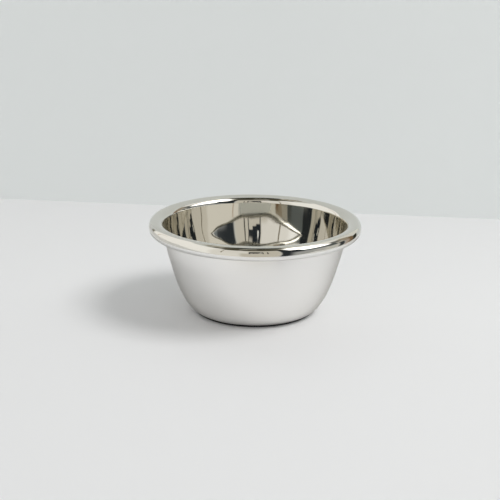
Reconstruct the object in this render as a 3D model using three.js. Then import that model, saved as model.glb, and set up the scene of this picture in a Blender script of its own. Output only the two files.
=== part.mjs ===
// Pressed steel shaving bowl: one sheet with a curled rim, polished inside and satin outside,
// on a non-slip pad stuck to its flat base. Millimetres, +Z up, the bowl stands on z = 0.
import * as THREE from 'three';

// Driving dimensions.
const HEIGHT = 53;            // resting surface to the crest of the rim
const RIM_RADIUS = 60;        // widest radius, on the outside of the curled rim
const SHEET = 0.6;            // thickness of the steel
const SEGMENTS = 64;          // facets around the axis, a multiple of 4

// Curled rim, measured on its polished face.
const CURL_HEIGHT = 7.7;      // crest to the underside of the curl
const CREST_RADIUS = 56.75;   // radius at which the curl is highest
const CURL_END = -145;        // degrees around the curl at which the sheet ends, just short of the wall

// Wall, measured on its satin face: a cone between two curves. A pull is how far a curve's end
// keeps to the lean there, and a lean is in degrees from vertical.
const WALL_TOP_RADIUS = 52.15;
const WALL_TOP_LEAN = 6.8;    // where the wall runs into the curl
const WALL_TOP_PULL = 3.6;
const CONE_TOP_RADIUS = 48.95;
const CONE_TOP_DEPTH = 20.6;  // below the crest
const CONE_HEIGHT = 9.2;
const CONE_LEAN = 16;
const CONE_TOP_PULL = 6.7;
const CONE_FOOT_PULL = 8.3;
const BASE_RADIUS = 34.06;    // flat part of the base
const BASE_CORNER = 1;        // rounding between the base and the wall
const BASE_LEAN = 62;         // just above the base
const BASE_PULL = 5.7;

// Non-slip pad and the adhesive disc that holds it.
const PAD_RADIUS = 33.4;
const PAD_THICKNESS = 1.2;
const PAD_ROUNDING = 0.4;     // rounding of the pad's edges
const ADHESIVE_RADIUS = 32.4;
const ADHESIVE_THICKNESS = 0.2;

// Fineness of the curves.
const UPPER_STEPS = 6;        // steps in the curve above the cone
const LOWER_STEPS = 8;        // steps in the curve below the cone
const CURL_STEPS = 5;         // steps in each quarter turn of the curl
const CORNER_STEPS = 3;

// Levels and sizes worked out from the driving dimensions.
const BASE_Z = PAD_THICKNESS + ADHESIVE_THICKNESS;
const CURL_HALF_HEIGHT = CURL_HEIGHT / 2;
const CURL_CENTRE_Z = HEIGHT - CURL_HALF_HEIGHT;
const WALL_FACE_RADIUS = WALL_TOP_RADIUS - SHEET * leaning(WALL_TOP_LEAN).y;
const OUTER_HALF_WIDTH = RIM_RADIUS - CREST_RADIUS;
const INNER_HALF_WIDTH = CREST_RADIUS - WALL_FACE_RADIUS;
const CURL_START = 180 - THREE.MathUtils.radToDeg(
  Math.atan(Math.tan(THREE.MathUtils.degToRad(WALL_TOP_LEAN)) * CURL_HALF_HEIGHT / INNER_HALF_WIDTH),
);

function point(r, z) {
  return new THREE.Vector2(r, z);
}

// Direction in the profile that leans outwards from straight up by some degrees.
function leaning(degrees) {
  const angle = THREE.MathUtils.degToRad(degrees);
  return point(Math.sin(angle), Math.cos(angle));
}

// Points on an arc of the profile, between two angles in degrees.
function arc(centre, halfWidth, halfHeight, from, to, steps) {
  const points = [];
  for (let i = 0; i <= steps; i += 1) {
    const angle = THREE.MathUtils.degToRad(from + (to - from) * i / steps);
    points.push(point(centre.x + halfWidth * Math.cos(angle), centre.y + halfHeight * Math.sin(angle)));
  }
  return points;
}

// The other face of a sheet: its face moved to the left of its path, or to the right if negative.
function farFace(face, thickness) {
  return face.map((p, i) => {
    const before = face[Math.max(i - 1, 0)];
    const after = face[Math.min(i + 1, face.length - 1)];
    const along = after.clone().sub(before).normalize();
    return point(p.x - along.y * thickness, p.y + along.x * thickness);
  });
}

// Revolves an anticlockwise profile of radius and height about +Z.
function revolve(profile) {
  const geometry = new THREE.LatheGeometry(profile, SEGMENTS);
  geometry.rotateX(Math.PI / 2);
  return geometry;
}

// Points after the first on a curve that leaves and arrives with given leans and pulls.
function bend(start, startLean, startPull, end, endLean, endPull, steps) {
  const curve = new THREE.CubicBezierCurve(
    start,
    start.clone().addScaledVector(leaning(startLean), startPull),
    end.clone().addScaledVector(leaning(endLean), -endPull),
    end,
  );
  return curve.getPoints(steps).slice(1);
}

// Satin face, from the middle of the base to the top of the wall.
function wallFace() {
  const centre = point(BASE_RADIUS, BASE_Z + BASE_CORNER);
  const corner = arc(centre, BASE_CORNER, BASE_CORNER, -90, -BASE_LEAN, CORNER_STEPS);
  const coneTop = point(CONE_TOP_RADIUS, HEIGHT - CONE_TOP_DEPTH);
  const coneDirection = leaning(CONE_LEAN);
  const coneFoot = coneTop.clone().addScaledVector(coneDirection, -CONE_HEIGHT / coneDirection.y);
  const curlStartZ = CURL_CENTRE_Z + CURL_HALF_HEIGHT * Math.sin(THREE.MathUtils.degToRad(CURL_START));
  const top = point(WALL_TOP_RADIUS, curlStartZ - SHEET * leaning(WALL_TOP_LEAN).x);
  return [
    point(0, BASE_Z),
    ...corner,
    ...bend(corner[CORNER_STEPS], BASE_LEAN, BASE_PULL, coneFoot, CONE_LEAN, CONE_FOOT_PULL, LOWER_STEPS),
    coneTop,
    ...bend(coneTop, CONE_LEAN, CONE_TOP_PULL, top, WALL_TOP_LEAN, WALL_TOP_PULL, UPPER_STEPS),
  ];
}

// Polished face of the curl, over the crest and round under the rim: wider on the bowl's side.
function curlFace() {
  const centre = point(CREST_RADIUS, CURL_CENTRE_Z);
  const part = (halfWidth, from, to, steps) => (
    arc(centre, halfWidth, CURL_HALF_HEIGHT, from, to, steps)
  );
  return [
    ...part(INNER_HALF_WIDTH, CURL_START, 90, CURL_STEPS).slice(1),
    ...part(OUTER_HALF_WIDTH, 90, -90, 2 * CURL_STEPS).slice(1),
    ...part(INNER_HALF_WIDTH, -90, CURL_END, CURL_STEPS - 1).slice(1),
  ];
}

// The bowl, pressed and curled from one sheet.
function bowlGeometry() {
  const wall = wallFace();
  const curl = curlFace();
  return revolve([
    ...wall,
    ...farFace(curl, -SHEET),
    ...curl.reverse(),
    ...farFace(wall, SHEET).reverse(),
  ]);
}

// Round pad with softened edges, standing on the surface.
function padGeometry() {
  const edge = PAD_RADIUS - PAD_ROUNDING;
  const rounding = (z, from, to) => (
    arc(point(edge, z), PAD_ROUNDING, PAD_ROUNDING, from, to, CORNER_STEPS)
  );
  return revolve([
    point(0, 0),
    ...rounding(PAD_ROUNDING, -90, 0),
    ...rounding(PAD_THICKNESS - PAD_ROUNDING, 0, 90),
    point(0, PAD_THICKNESS),
  ]);
}

// Thin double-sided adhesive disc between the pad and the base.
function adhesiveGeometry() {
  return revolve([
    point(0, PAD_THICKNESS),
    point(ADHESIVE_RADIUS, PAD_THICKNESS),
    point(ADHESIVE_RADIUS, BASE_Z),
    point(0, BASE_Z),
  ]);
}

function piece(name, geometry, color, roughness, metalness) {
  const material = new THREE.MeshStandardMaterial({ color, roughness, metalness });
  const mesh = new THREE.Mesh(geometry, material);
  mesh.name = name;
  return mesh;
}

const shavingBowl = new THREE.Group();
shavingBowl.add(piece('bowl', bowlGeometry(), 0xd3d1cb, 0.25, 1));
shavingBowl.add(piece('base_pad', padGeometry(), 0x19191b, 0.85, 0));
shavingBowl.add(piece('pad_adhesive', adhesiveGeometry(), 0xd9d3bd, 0.6, 0));

export default shavingBowl;
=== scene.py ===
# A pressed steel shaving bowl: polished inside and over its curled rim, satin outside, on a
# black pad. Metres, +Z up. The bowl stands on z = 0 and the camera looks along +Y.
import math

import bmesh
import bpy
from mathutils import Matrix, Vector


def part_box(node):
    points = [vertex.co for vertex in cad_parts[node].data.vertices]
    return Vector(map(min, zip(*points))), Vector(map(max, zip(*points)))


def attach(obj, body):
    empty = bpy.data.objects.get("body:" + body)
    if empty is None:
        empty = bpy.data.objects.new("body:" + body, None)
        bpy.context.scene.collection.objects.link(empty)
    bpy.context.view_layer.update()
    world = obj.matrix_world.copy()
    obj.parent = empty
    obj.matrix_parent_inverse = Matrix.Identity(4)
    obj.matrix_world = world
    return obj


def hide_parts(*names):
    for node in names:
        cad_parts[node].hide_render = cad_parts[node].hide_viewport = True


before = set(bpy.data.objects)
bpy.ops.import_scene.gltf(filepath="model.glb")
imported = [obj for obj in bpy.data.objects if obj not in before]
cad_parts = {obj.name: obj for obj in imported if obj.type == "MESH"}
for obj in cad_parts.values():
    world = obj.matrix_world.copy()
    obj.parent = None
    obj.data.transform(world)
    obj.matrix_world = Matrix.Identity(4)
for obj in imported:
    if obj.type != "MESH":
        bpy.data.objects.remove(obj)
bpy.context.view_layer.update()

MM = 0.001
BODY = "root"
SEGMENTS = 256          # facets around the axis
CREASE_ANGLE = 40       # edges bent by more degrees than this stay sharp
ON_AXIS = 1e-6          # a point of an outline nearer than this is on the axis, in millimetres

# Sizes that the frame gives, in millimetres.
RIM_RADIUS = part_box("bowl")[1][0] / MM
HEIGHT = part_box("bowl")[1][2] / MM
BASE_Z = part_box("bowl")[0][2] / MM
PAD_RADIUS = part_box("base_pad")[1][0] / MM
PAD_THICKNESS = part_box("base_pad")[1][2] / MM

# Section of the steel sheet, in millimetres, as the CAD has it. A lean is in degrees from
# vertical, and a pull is how far a curve's end keeps to the lean there.
SHEET = 0.6             # thickness of the steel
CURL_HEIGHT = 7.7       # crest to the underside of the curl
CREST_RADIUS = 56.75    # radius at which the curl is highest
CURL_END = -145         # degrees around the curl at which the sheet ends
WALL_TOP_RADIUS = 52.15
WALL_TOP_LEAN = 6.8
WALL_TOP_PULL = 3.6
CONE_TOP_RADIUS = 48.95
CONE_TOP_DEPTH = 20.6   # below the crest
CONE_HEIGHT = 9.2
CONE_LEAN = 16
CONE_TOP_PULL = 6.7
CONE_FOOT_PULL = 8.3
BASE_RADIUS = 34.06     # flat part of the base
BASE_CORNER = 1         # rounding between the base and the wall
BASE_LEAN = 62
BASE_PULL = 5.7
PAD_ROUNDING = 0.4      # rounding of the pad's edges
POLISH_DEPTH = 4.8      # how far below the crest the polish ends on the outside of the curl

# Fineness of the outlines, in steps.
BASE_STEPS = 8
CORNER_STEPS = 6
LOWER_STEPS = 40        # curve below the cone
CONE_STEPS = 12
UPPER_STEPS = 32        # curve above the cone
INNER_CURL_STEPS = 32
OUTER_CURL_STEPS = 48
HIDDEN_CURL_STEPS = 12
PAD_STEPS = 8


# ---------------------------------------------------------------- camera

CAMERA_DISTANCE = 0.700     # from the rim's centre, in metres
CAMERA_ELEVATION = 14.99    # degrees
CAMERA_ROLL = 0.602
LENS = 89.2
AIM_FROM_RIM = (-0.00267, -0.00458, -0.01711)


def make_camera():
    """In front of the rim's centre and above it, aimed a little below it."""
    elevation = math.radians(CAMERA_ELEVATION)
    rim_centre = Vector((0, 0, HEIGHT * MM))
    away = Vector((0, -math.cos(elevation), math.sin(elevation)))
    aim = rim_centre + Vector(AIM_FROM_RIM)
    data = bpy.data.cameras.new("camera")
    data.lens = LENS
    camera = bpy.data.objects.new("camera", data)
    camera.location = rim_centre + CAMERA_DISTANCE * away
    camera.rotation_euler = (aim - camera.location).to_track_quat("-Z", "Y").to_euler()
    camera.rotation_euler.rotate_axis("Z", math.radians(CAMERA_ROLL))
    bpy.context.collection.objects.link(camera)
    bpy.context.scene.camera = camera


# ---------------------------------------------------------------- section of the bowl

def leaning(degrees):
    """Direction in the section that leans outwards from straight up."""
    angle = math.radians(degrees)
    return Vector((math.sin(angle), math.cos(angle)))


def arc(centre, half_width, half_height, start, end, steps):
    """Points on an arc of the section, between two angles in degrees."""
    points = []
    for i in range(steps + 1):
        angle = math.radians(start + (end - start) * i / steps)
        points.append(Vector((centre[0] + half_width * math.cos(angle),
                              centre[1] + half_height * math.sin(angle))))
    return points


def bend(start, start_lean, start_pull, end, end_lean, end_pull, steps):
    """A Bezier curve that leaves and arrives with given leans, each kept to over its pull."""
    leaving = start + start_pull * leaning(start_lean)
    arriving = end - end_pull * leaning(end_lean)
    points = []
    for i in range(steps + 1):
        t = i / steps
        s = 1 - t
        near_start = s ** 3 * start + 3 * s * s * t * leaving
        near_end = 3 * s * t * t * arriving + t ** 3 * end
        points.append(near_start + near_end)
    return points


def straight(start, end, steps):
    return [start.lerp(end, i / steps) for i in range(steps + 1)]


def joined(*runs):
    """One outline from several runs that start where the last one ended."""
    points = list(runs[0])
    for run in runs[1:]:
        points += run[1:]
    return points


def far_face(face, thickness):
    """The other face of a sheet, to the left of its path, or to the right if negative."""
    points = []
    for i, p in enumerate(face):
        along = (face[min(i + 1, len(face) - 1)] - face[max(i - 1, 0)]).normalized()
        points.append(Vector((p.x - along.y * thickness, p.y + along.x * thickness)))
    return points


CURL_CENTRE = (CREST_RADIUS, HEIGHT - CURL_HEIGHT / 2)
OUTER_HALF_WIDTH = RIM_RADIUS - CREST_RADIUS
INNER_HALF_WIDTH = CREST_RADIUS - (WALL_TOP_RADIUS - SHEET * leaning(WALL_TOP_LEAN).y)
CURL_SLOPE = math.tan(math.radians(WALL_TOP_LEAN)) * CURL_HEIGHT / 2 / INNER_HALF_WIDTH
CURL_START = 180 - math.degrees(math.atan(CURL_SLOPE))


def wall_face():
    """Satin face, from the middle of the base to the top of the wall."""
    corner_centre = (BASE_RADIUS, BASE_Z + BASE_CORNER)
    corner = arc(corner_centre, BASE_CORNER, BASE_CORNER, -90, -BASE_LEAN, CORNER_STEPS)
    curl_start_z = CURL_CENTRE[1] + CURL_HEIGHT / 2 * math.sin(math.radians(CURL_START))
    top = Vector((WALL_TOP_RADIUS, curl_start_z - SHEET * leaning(WALL_TOP_LEAN).x))
    cone_top = Vector((CONE_TOP_RADIUS, HEIGHT - CONE_TOP_DEPTH))
    cone_foot = cone_top - CONE_HEIGHT / leaning(CONE_LEAN).y * leaning(CONE_LEAN)
    return joined(
        straight(Vector((0, BASE_Z)), corner[0], BASE_STEPS),
        corner,
        bend(corner[-1], BASE_LEAN, BASE_PULL, cone_foot, CONE_LEAN, CONE_FOOT_PULL, LOWER_STEPS),
        straight(cone_foot, cone_top, CONE_STEPS),
        bend(cone_top, CONE_LEAN, CONE_TOP_PULL, top, WALL_TOP_LEAN, WALL_TOP_PULL, UPPER_STEPS),
    )


def curl_face():
    """Polished face of the curl, over the crest and round under the rim."""
    def part(half_width, start, end, steps):
        return arc(CURL_CENTRE, half_width, CURL_HEIGHT / 2, start, end, steps)

    return joined(
        part(INNER_HALF_WIDTH, CURL_START, 90, INNER_CURL_STEPS),
        part(OUTER_HALF_WIDTH, 90, -90, OUTER_CURL_STEPS),
        part(INNER_HALF_WIDTH, -90, CURL_END, HIDDEN_CURL_STEPS),
    )[1:]


# ---------------------------------------------------------------- meshes

def revolve(name, outline, materials, material_of):
    """A closed solid of revolution about +Z from an anticlockwise outline in millimetres.

    material_of gives the material's index for the strip that starts at a point of the outline.
    A point on the axis is one vertex, so the faces beside it have three corners.
    """
    mesh = bmesh.new()
    turns = [2 * math.pi * k / SEGMENTS for k in range(SEGMENTS)]
    rings = []
    for p in outline:
        r = p.x * MM
        z = p.y * MM
        if p.x < ON_AXIS:
            rings.append([mesh.verts.new((0, 0, z))] * SEGMENTS)
        else:
            rings.append([mesh.verts.new((r * math.cos(t), r * math.sin(t), z)) for t in turns])
    for i, (low, high) in enumerate(zip(rings, rings[1:])):
        for k in range(SEGMENTS):
            n = (k + 1) % SEGMENTS
            corners = dict.fromkeys((low[k], low[n], high[n], high[k]))
            mesh.faces.new(list(corners)).material_index = material_of(i)
    for face in mesh.faces:
        face.smooth = True
    for edge in mesh.edges:
        if edge.calc_face_angle() > math.radians(CREASE_ANGLE):
            edge.smooth = False
    data = bpy.data.meshes.new(name)
    mesh.to_mesh(data)
    mesh.free()
    for material in materials:
        data.materials.append(material)
    piece = bpy.data.objects.new(name, data)
    bpy.context.collection.objects.link(piece)
    return piece


def place(piece, node):
    """Puts a piece on the body in a CAD node's place, and hides the CAD node."""
    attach(piece, BODY)
    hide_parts(node)


def make_bowl():
    """One sheet, satin up the outside of the wall and on the hidden face of the curl."""
    wall = wall_face()
    curl = curl_face()
    hidden = far_face(curl, -SHEET)
    outline = wall + hidden + curl[::-1] + far_face(wall, SHEET)[::-1]
    satin_curl = [p for p in curl if p.y < HEIGHT - POLISH_DEPTH]
    satin_points = len(wall) + len(hidden) + len(satin_curl)
    bowl = revolve("steel_bowl", outline, [satin_steel(), polished_steel()],
                   lambda i: 0 if i < satin_points else 1)
    place(bowl, "bowl")


def make_pad():
    """A disc with rounded edges."""
    def rounding(z, start, end):
        centre = (PAD_RADIUS - PAD_ROUNDING, z)
        return arc(centre, PAD_ROUNDING, PAD_ROUNDING, start, end, PAD_STEPS)

    low = rounding(PAD_ROUNDING, -90, 0)
    high = rounding(PAD_THICKNESS - PAD_ROUNDING, 0, 90)
    outline = [Vector((0, 0)), *low, *high, Vector((0, PAD_THICKNESS))]
    pad = revolve("non_slip_pad", outline, [pad_rubber()], lambda i: 0)
    place(pad, "base_pad")


def finish_adhesive():
    """The film keeps its CAD shape and gets its finish."""
    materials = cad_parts["pad_adhesive"].data.materials
    materials.clear()
    materials.append(adhesive_film())


# ---------------------------------------------------------------- materials

LAST_BOUNCE = 4         # reflections after which the renderer gives a ray up


class Nodes:
    """Short calls for building a node tree."""

    def __init__(self, tree):
        self.tree = tree

    def add(self, kind, **settings):
        node = self.tree.nodes.new(kind)
        for name, value in settings.items():
            setattr(node, name, value)
        return node

    def link(self, out, socket):
        self.tree.links.new(out, socket)

    def noise(self, vector, scale, detail):
        node = self.add("ShaderNodeTexNoise")
        node.inputs["Scale"].default_value = scale
        node.inputs["Detail"].default_value = detail
        self.link(vector, node.inputs["Vector"])
        return node.outputs["Fac"]

    def stretched(self, vector, scale):
        node = self.add("ShaderNodeMapping")
        node.inputs["Scale"].default_value = scale
        self.link(vector, node.inputs["Vector"])
        return node.outputs["Vector"]

    def between(self, value, low, high):
        """A value from 0 to 1, brought between two others."""
        node = self.add("ShaderNodeMapRange")
        node.inputs["To Min"].default_value = low
        node.inputs["To Max"].default_value = high
        self.link(value, node.inputs["Value"])
        return node.outputs["Result"]

    def bump(self, height, distance, strength):
        node = self.add("ShaderNodeBump")
        node.inputs["Distance"].default_value = distance
        node.inputs["Strength"].default_value = strength
        self.link(height, node.inputs["Height"])
        return node.outputs["Normal"]

    def maths(self, operation, *values):
        """Each value is a number or an output socket."""
        node = self.add("ShaderNodeMath", operation=operation)
        for socket, value in zip(node.inputs, values):
            if isinstance(value, (int, float)):
                socket.default_value = value
            else:
                self.link(value, socket)
        return node.outputs["Value"]

    def rising(self, angle, limit, softness):
        """1 where the angle is past a limit, 0 before it, with a soft edge."""
        node = self.add("ShaderNodeMapRange", interpolation_type="SMOOTHSTEP")
        node.inputs["From Min"].default_value = limit - softness
        node.inputs["From Max"].default_value = limit + softness
        self.link(angle, node.inputs["Value"])
        return node.outputs["Result"]

    def within(self, angle, limits, softness):
        """1 between two limits and 0 outside them."""
        low = self.rising(angle, limits[0], softness)
        high = self.rising(angle, limits[1], softness)
        return self.maths("SUBTRACT", low, high)

    def mixed_shader(self, factor, first, second):
        node = self.add("ShaderNodeMixShader")
        self.link(factor, node.inputs["Fac"])
        self.link(first, node.inputs[1])
        self.link(second, node.inputs[2])
        return node.outputs["Shader"]

    def mixed_colour(self, factor, under, paint):
        """A fixed colour laid over a colour socket."""
        node = self.add("ShaderNodeMix", data_type="RGBA")
        first, second = [socket for socket in node.inputs if socket.type == "RGBA"]
        self.link(factor, node.inputs["Factor"])
        self.link(under, first)
        second.default_value = (*paint, 1)
        return next(socket for socket in node.outputs if socket.type == "RGBA")


def new_material(name):
    """A material, calls for its nodes, its shader, and the place on the piece in metres."""
    material = bpy.data.materials.new(name)
    material.use_nodes = True
    nodes = Nodes(material.node_tree)
    shader = material.node_tree.nodes["Principled BSDF"]
    where = nodes.add("ShaderNodeTexCoord").outputs["Object"]
    return material, nodes, shader, where


def polished_steel():
    """Mirror polish with faint turning marks and a slightly wavy pressed surface.

    Where a ray has bounced to the renderer's limit inside the bowl, the steel glows a faint warm
    grey, a painted reflection where it would otherwise turn black.
    """
    material, nodes, shader, where = new_material("polished_steel")
    shader.inputs["Metallic"].default_value = 1.0
    shader.inputs["Base Color"].default_value = (0.71, 0.69, 0.63, 1)
    marks = nodes.noise(nodes.stretched(where, (60, 60, 4000)), 1.0, 3.0)
    nodes.link(nodes.between(marks, 0.0, 0.08), shader.inputs["Roughness"])
    waves = nodes.noise(where, 45, 1.0)
    nodes.link(nodes.bump(waves, 0.0004, 1.0), shader.inputs["Normal"])
    # Painted reflection: a faint warm grey glow on the steel once a ray has bounced to the
    # renderer's limit.
    depth = nodes.add("ShaderNodeLightPath").outputs["Glossy Depth"]
    shader.inputs["Emission Color"].default_value = (0.11, 0.105, 0.085, 1)
    painted_glow_at_limit = nodes.maths("GREATER_THAN", depth, LAST_BOUNCE - 0.5)
    nodes.link(painted_glow_at_limit, shader.inputs["Emission Strength"])
    return material


def satin_steel():
    """Fine satin grain, softly brushed around the wall."""
    material, nodes, shader, where = new_material("satin_steel")
    shader.inputs["Metallic"].default_value = 0.85
    shader.inputs["Base Color"].default_value = (0.95, 0.94, 0.92, 1)
    shader.inputs["Specular Tint"].default_value = (0.42, 0.41, 0.39, 1)
    grain = nodes.noise(nodes.stretched(where, (120, 120, 3500)), 1.0, 4.0)
    nodes.link(nodes.between(grain, 0.26, 0.36), shader.inputs["Roughness"])
    nodes.link(nodes.bump(grain, 0.00003, 0.5), shader.inputs["Normal"])
    around = nodes.add("ShaderNodeTangent", direction_type="RADIAL", axis="Z")
    nodes.link(around.outputs["Tangent"], shader.inputs["Tangent"])
    shader.inputs["Anisotropic"].default_value = 0.5
    shader.inputs["Anisotropic Rotation"].default_value = 0.25
    return material


def pad_rubber():
    """Matt black rubber, slightly uneven."""
    material, nodes, shader, where = new_material("pad_rubber")
    shader.inputs["Base Color"].default_value = (0.012, 0.012, 0.013, 1)
    shader.inputs["Roughness"].default_value = 0.8
    lumps = nodes.noise(where, 900, 3.0)
    nodes.link(nodes.bump(lumps, 0.00005, 0.5), shader.inputs["Normal"])
    return material


def adhesive_film():
    """Slightly glossy film with the paper-like fibres of a double-sided tape."""
    material, nodes, shader, where = new_material("adhesive_film")
    shader.inputs["Base Color"].default_value = (0.62, 0.58, 0.45, 1)
    fibres = nodes.noise(where, 1500, 4.0)
    nodes.link(nodes.between(fibres, 0.35, 0.6), shader.inputs["Roughness"])
    nodes.link(nodes.bump(fibres, 0.00002, 0.4), shader.inputs["Normal"])
    return material


# ---------------------------------------------------------------- stage

REACH = 3.0                 # how far the table and the wall go on, in metres
WALL_DISTANCE = 0.226
WALL_TURN = 6.9             # degrees about +Z
WALL_HEIGHT = 1.2
WALL_SEEN = 0.19            # how far to each side of its middle the steel reflects the wall
TABLE_FRONT = 0.115         # how far the steel reflects the table, to the front
TABLE_RIGHT = 0.19          # and to the right
TABLE_COLOUR = (0.80, 0.80, 0.80)
WALL_COLOUR = (0.90, 0.93, 0.92)

KEY_PLACE = (1.95, -0.55, 2.70)
KEY_SIDES = (1.6, 1.3)
KEY_POWER = 56              # watts
EVEN_COLOUR = (0.72, 0.72, 0.72)
EVEN_STRENGTH = 0.68
EXTRA_FROM_FRONT = 0.24     # added to the even light straight from the front
ROOM_STRENGTH = 1.02


def pale_material(name, colour, seen_from_behind):
    """Matt and plain. Where seen_from_behind is false, the sheet is clear from its back."""
    material, nodes, shader, _ = new_material(name)
    shader.inputs["Base Color"].default_value = (*colour, 1)
    shader.inputs["Roughness"].default_value = 0.6
    shader.inputs["Specular IOR Level"].default_value = 0.2
    if not seen_from_behind:
        behind = nodes.add("ShaderNodeNewGeometry").outputs["Backfacing"]
        clear = nodes.add("ShaderNodeBsdfTransparent").outputs["BSDF"]
        surface = nodes.mixed_shader(behind, shader.outputs["BSDF"], clear)
        nodes.link(surface, material.node_tree.nodes["Material Output"].inputs["Surface"])
    return material


def quad(name, corners, material, reflected):
    """A flat sheet of the stage. The steel sees it only if it is reflected."""
    data = bpy.data.meshes.new(name)
    data.from_pydata(corners, [], [(0, 1, 2, 3)])
    data.materials.append(material)
    obj = bpy.data.objects.new(name, data)
    obj.visible_glossy = reflected
    bpy.context.collection.objects.link(obj)


def make_floor():
    """A table top, in three pieces that meet. The steel reflects only the first."""
    white = pale_material("floor_white", TABLE_COLOUR, True)
    for name, left, right, front, back in (
        ("floor", -REACH, TABLE_RIGHT, -TABLE_FRONT, REACH),
        ("floor_right", TABLE_RIGHT, REACH, -TABLE_FRONT, REACH),
        ("floor_front", -REACH, REACH, -REACH, -TABLE_FRONT),
    ):
        corners = [(left, front, 0), (right, front, 0), (right, back, 0), (left, back, 0)]
        quad(name, corners, white, name == "floor")


def make_wall():
    """A plain wall behind the bowl, turned a little, and clear when it is seen from behind.

    The steel reflects only its middle, and the room beyond that.
    """
    pale = pale_material("wall_white", WALL_COLOUR, False)
    turn = math.radians(WALL_TURN)
    along = Vector((math.cos(turn), -math.sin(turn), 0))
    up = Vector((0, 0, WALL_HEIGHT))
    middle = Vector((0, WALL_DISTANCE, 0))
    for name, start, end in (
        ("wall_left", -REACH, -WALL_SEEN),
        ("wall", -WALL_SEEN, WALL_SEEN),
        ("wall_right", WALL_SEEN, REACH),
    ):
        left = middle + start * along
        right = middle + end * along
        quad(name, [left, right, right + up, left + up], pale, name == "wall")


def make_key_light():
    """A large soft light, high on the right. The steel reflects the room's window in its place."""
    data = bpy.data.lights.new("key", "AREA")
    data.shape = "RECTANGLE"
    data.size, data.size_y = KEY_SIDES
    data.energy = KEY_POWER
    key = bpy.data.objects.new("key", data)
    key.location = KEY_PLACE
    key.rotation_euler = (-key.location).to_track_quat("-Z", "Y").to_euler()
    key.visible_glossy = False
    bpy.context.collection.objects.link(key)


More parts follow.
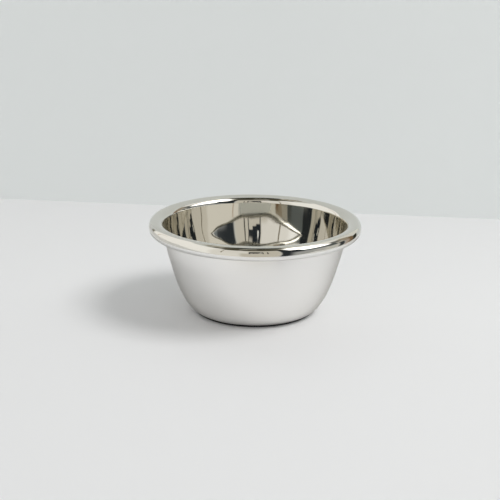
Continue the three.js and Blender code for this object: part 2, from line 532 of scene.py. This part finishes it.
# The room that the steel reflects: (azimuth from, to), (elevation from, to), edge softness, colour.
# Azimuth 0 is straight in front of the bowl and +90 to its right. Later panels cover earlier ones.
ROOM_BASE = (0.64, 0.665, 0.66)
ROOM_PANELS = [
    ((-137, -30), (-50, 54), 2, (1.06, 1.05, 1.03)),      # white reflector on the left
    ((-125, -123.5), (2, 34), 0.4, (0.62, 0.50, 0.40)),   # a brown seam in it
    ((-48, -14), (-50, 54), 5, (0.88, 0.86, 0.82)),       # its shaded front end
    ((-16, 27), (-50, 50), 3, (0.64, 0.61, 0.54)),        # beige wall in front
    ((-30, -8), (9, 40), 2, (0.84, 0.82, 0.78)),          # pale blind on that wall
    ((-34, -32.5), (4, 34), 0.3, (0.22, 0.19, 0.14)),     # edge of the reflector
    ((8.2, 9.4), (4, 30), 0.3, (0.10, 0.10, 0.09)),       # two upright posts
    ((13.0, 14.4), (4, 30), 0.3, (0.06, 0.06, 0.05)),
    ((-7.3, 3.6), (12, 30), 0.4, (0.02, 0.025, 0.03)),    # a dark stand with a rod
    ((3, 9), (15, 30), 0.4, (0.02, 0.025, 0.03)),
    ((-7.3, -1.2), (10.5, 13), 0.4, (0.02, 0.025, 0.03)),
    ((-7.2, -5.8), (4, 11), 0.3, (0.06, 0.06, 0.06)),
    ((-4.6, -2.8), (15.5, 19), 0.3, (0.95, 0.95, 0.92)),  # gaps through it
    ((5.4, 7.4), (20, 25), 0.3, (0.95, 0.95, 0.92)),
    ((44, 100), (10, 28), 4, (0.15, 0.17, 0.18)),         # wall below the window
    ((44, 118), (-30, 10), 3, (0.50, 0.50, 0.49)),
    ((27.5, 54), (-42, 50), 1.5, (0.03, 0.035, 0.04)),    # dark doorway
    ((41, 64), (-30, 10), 6, (0.40, 0.41, 0.41)),         # a low cabinet in it
    ((127, 175), (6, 74), 3, (0.80, 0.80, 0.75)),         # paler wall at the back on the right
    ((98, 130), (38, 76), 3, (0.95, 0.95, 0.93)),
    ((86, 99), (8, 38), 2, (0.10, 0.11, 0.11)),           # frame beside the window
    ((99, 112), (8, 22), 1, (0.46, 0.44, 0.39)),
    ((99, 112), (22, 38), 2, (0.18, 0.18, 0.17)),
    ((112, 127), (8, 36), 1, (0.36, 0.31, 0.24)),
    ((80, 100), (-16, 4), 3, (0.62, 0.62, 0.58)),         # a pale shelf
    ((101, 110), (-20, 12), 2, (0.05, 0.055, 0.06)),      # a dark post
    ((112, 120), (-20, 10), 2, (0.44, 0.37, 0.31)),       # brown cupboard
    ((119, 128), (-20, 16), 2, (0.22, 0.15, 0.09)),
    ((127, 137), (-22, 8), 1.5, (0.04, 0.04, 0.03)),
    ((-142, -136), (-10, 12), 2, (0.25, 0.24, 0.20)),     # small things at the back on the left
    ((-126, -117), (-22, -4), 2, (0.30, 0.29, 0.26)),
    ((-181, 181), (61, 91), 5, (0.66, 0.65, 0.58)),       # ceiling
    ((4, 56), (68, 91), 3, (0.16, 0.155, 0.12)),          # its darker end
    ((-140, -100), (62, 72), 2, (0.30, 0.28, 0.22)),      # dark beams along its edges
    ((-80, -30), (55, 74), 2, (0.10, 0.09, 0.065)),
    ((-40, -22), (44, 64), 2, (0.08, 0.075, 0.05)),
    ((-26, 42), (47, 67), 2, (0.05, 0.045, 0.03)),
    ((-181, 181), (74, 91), 2, (0.03, 0.03, 0.02)),       # lamp housing overhead
    ((42, 98), (40, 60), 3, (2.6, 2.6, 2.6)),             # bright window
    ((56, 96), (28, 68), 3, (3.4, 3.4, 3.4)),
]


def room_colour(nodes, x, y, z):
    """The reflected room's colour in each direction, painted panel by panel."""
    azimuth = nodes.maths("DEGREES", nodes.maths("ARCTAN2", x, nodes.maths("MULTIPLY", y, -1.0)))
    elevation = nodes.maths("DEGREES", nodes.maths("ARCSINE", z))
    base = nodes.add("ShaderNodeRGB")
    base.outputs["Color"].default_value = (*ROOM_BASE, 1)
    colour = base.outputs["Color"]
    for across, upwards, softness, paint in ROOM_PANELS:
        in_azimuth = nodes.within(azimuth, across, softness)
        in_elevation = nodes.within(elevation, upwards, softness)
        mask = nodes.maths("MULTIPLY", in_azimuth, in_elevation)
        colour = nodes.mixed_colour(mask, colour, paint)
    return colour


def make_world():
    """Pale, nearly even light for everything matt, and a room to look at for the steel."""
    world = bpy.data.worlds.new("room")
    bpy.context.scene.world = world
    world.use_nodes = True
    nodes = Nodes(world.node_tree)
    direction = nodes.add("ShaderNodeSeparateXYZ")
    nodes.link(nodes.add("ShaderNodeTexCoord").outputs["Generated"], direction.inputs["Vector"])
    x, y, z = direction.outputs
    even = world.node_tree.nodes["Background"]
    even.inputs["Color"].default_value = (*EVEN_COLOUR, 1)
    strength = nodes.maths("MULTIPLY_ADD", y, -EXTRA_FROM_FRONT, EVEN_STRENGTH)
    nodes.link(strength, even.inputs["Strength"])
    room = nodes.add("ShaderNodeBackground")
    nodes.link(room_colour(nodes, x, y, z), room.inputs["Color"])
    room.inputs["Strength"].default_value = ROOM_STRENGTH
    glossy = nodes.add("ShaderNodeLightPath").outputs["Is Glossy Ray"]
    surface = nodes.mixed_shader(glossy, even.outputs["Background"], room.outputs["Background"])
    nodes.link(surface, world.node_tree.nodes["World Output"].inputs["Surface"])


bpy.context.scene.view_settings.view_transform = "Standard"
make_camera()
make_bowl()
make_pad()
finish_adhesive()
make_floor()
make_wall()
make_key_light()
make_world()
